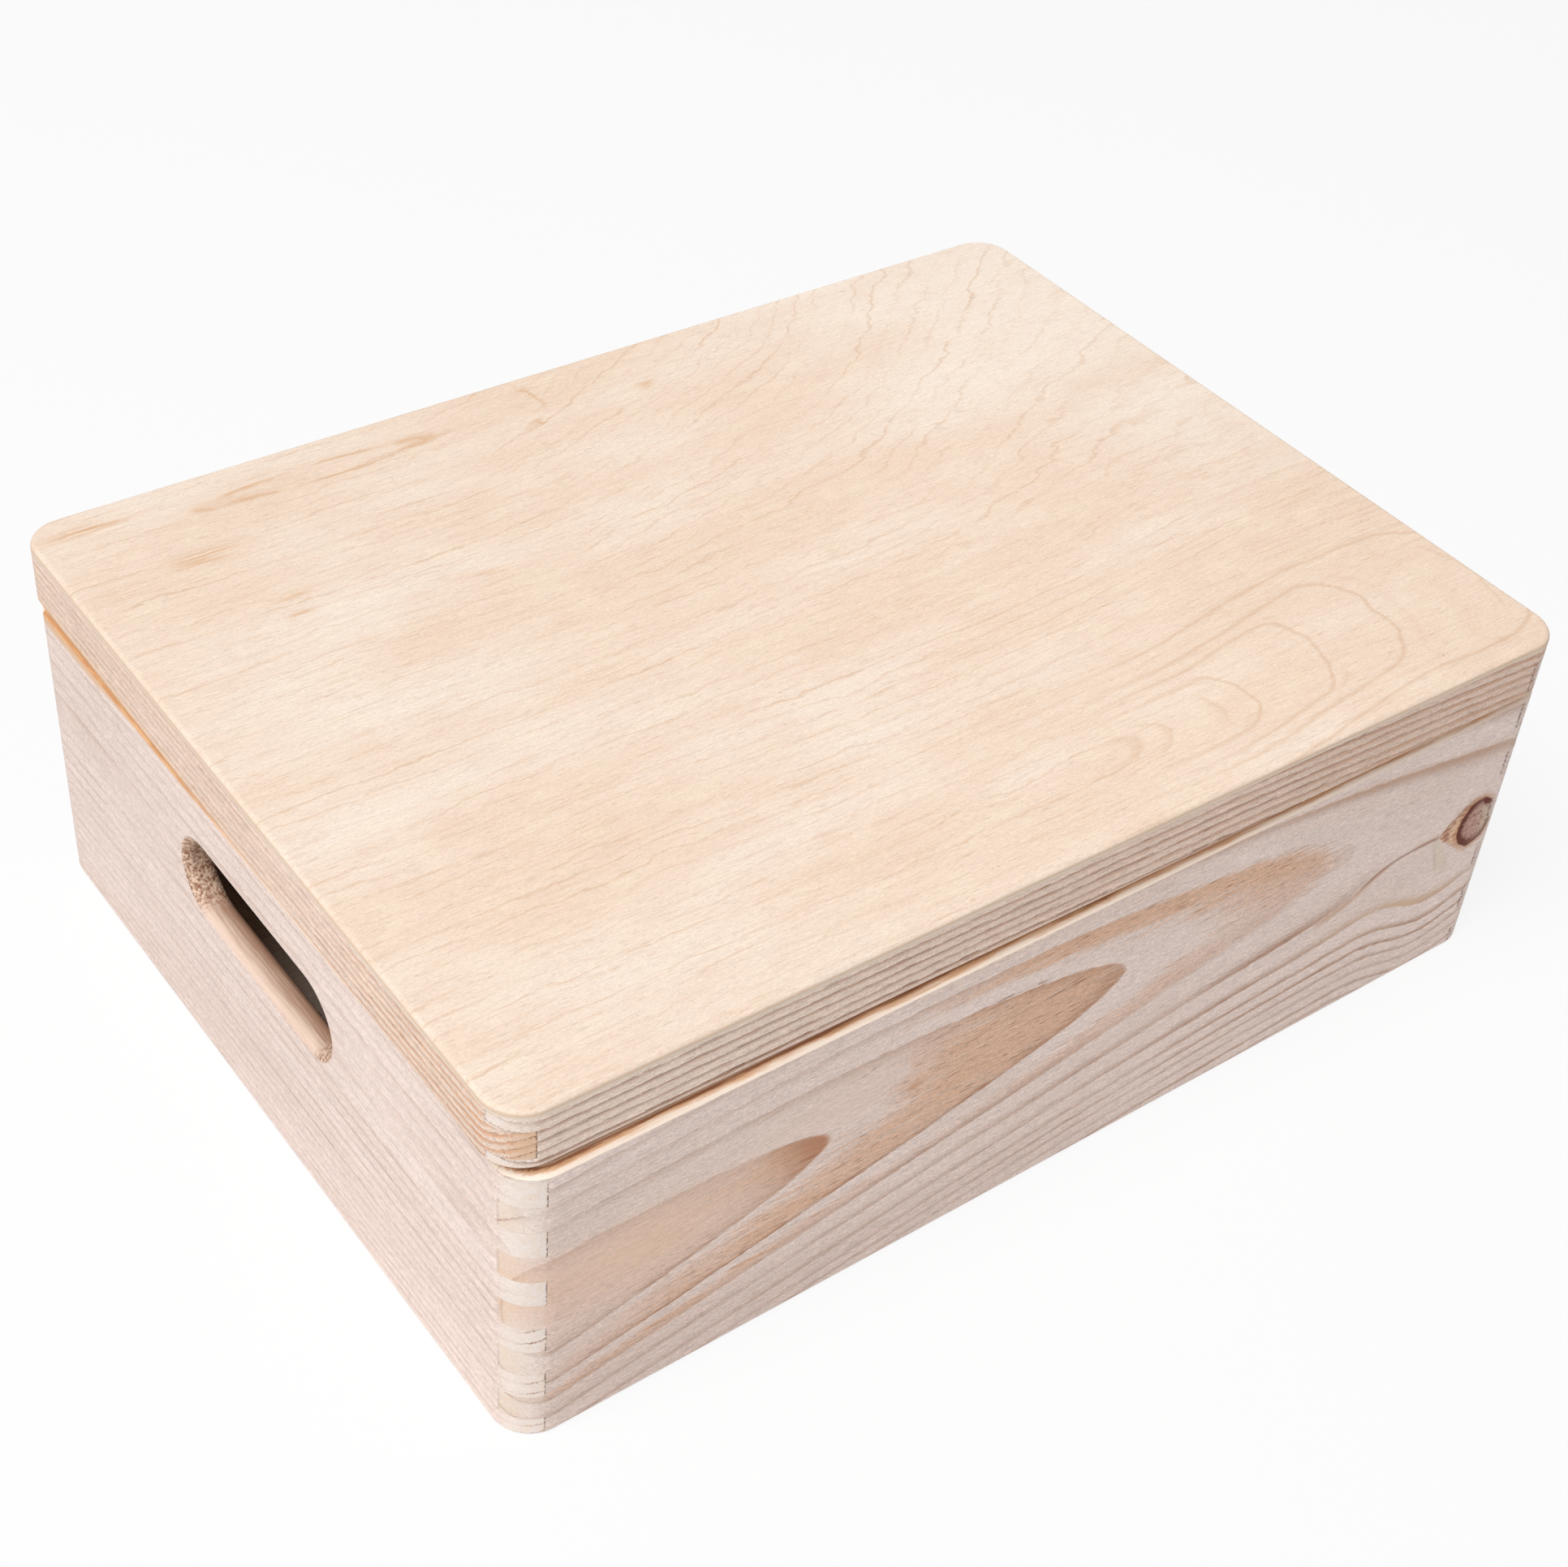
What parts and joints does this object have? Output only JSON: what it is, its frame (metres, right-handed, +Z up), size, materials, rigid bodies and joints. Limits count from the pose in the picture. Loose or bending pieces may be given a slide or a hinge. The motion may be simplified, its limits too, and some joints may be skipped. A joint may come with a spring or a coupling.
{
  "type": "keepsake box",
  "caption": "Rectangular pine box with finger-jointed corners, rounded edges, oval hand slots in both ends and a shallow plywood-topped lid hinged at the back.",
  "frame": {"origin": "bottom centre of the body; the lid, slightly turned and shifted, reaches 2.6 mm past it on the left", "axes": "+X along the long front side to the right, the front faces -Y, +Z up"},
  "size_m": [0.4026, 0.302, 0.136],
  "materials": {
    "pine": "bare, sanded",
    "plywood": "bare, sanded",
    "hinge_metal": "satin",
    "screw_metal": "satin"
  },
  "bodies": {
    "box": {"front_board": "pine", "back_board": "pine", "left_end_board": "pine", "right_end_board": "pine", "bottom_panel": "plywood", "left_hinge_body_leaf": "hinge_metal", "left_hinge_pin": "hinge_metal", "left_hinge_body_screws": "screw_metal", "right_hinge_body_leaf": "hinge_metal", "right_hinge_pin": "hinge_metal", "right_hinge_body_screws": "screw_metal"},
    "lid": {"lid_front_rail": "pine", "lid_back_rail": "pine", "lid_left_rail": "pine", "lid_right_rail": "pine", "lid_panel": "plywood", "left_hinge_lid_leaf": "hinge_metal", "left_hinge_lid_screws": "screw_metal", "right_hinge_lid_leaf": "hinge_metal", "right_hinge_lid_screws": "screw_metal"}
  },
  "joints": [
    {"name": "lid_hinge", "type": "hinge", "parent": "box", "child": "lid", "pos_m": [0, 0.1483, 0.1127], "axis": [-1, 0, 0], "range_deg": [0, 105]}
  ]
}
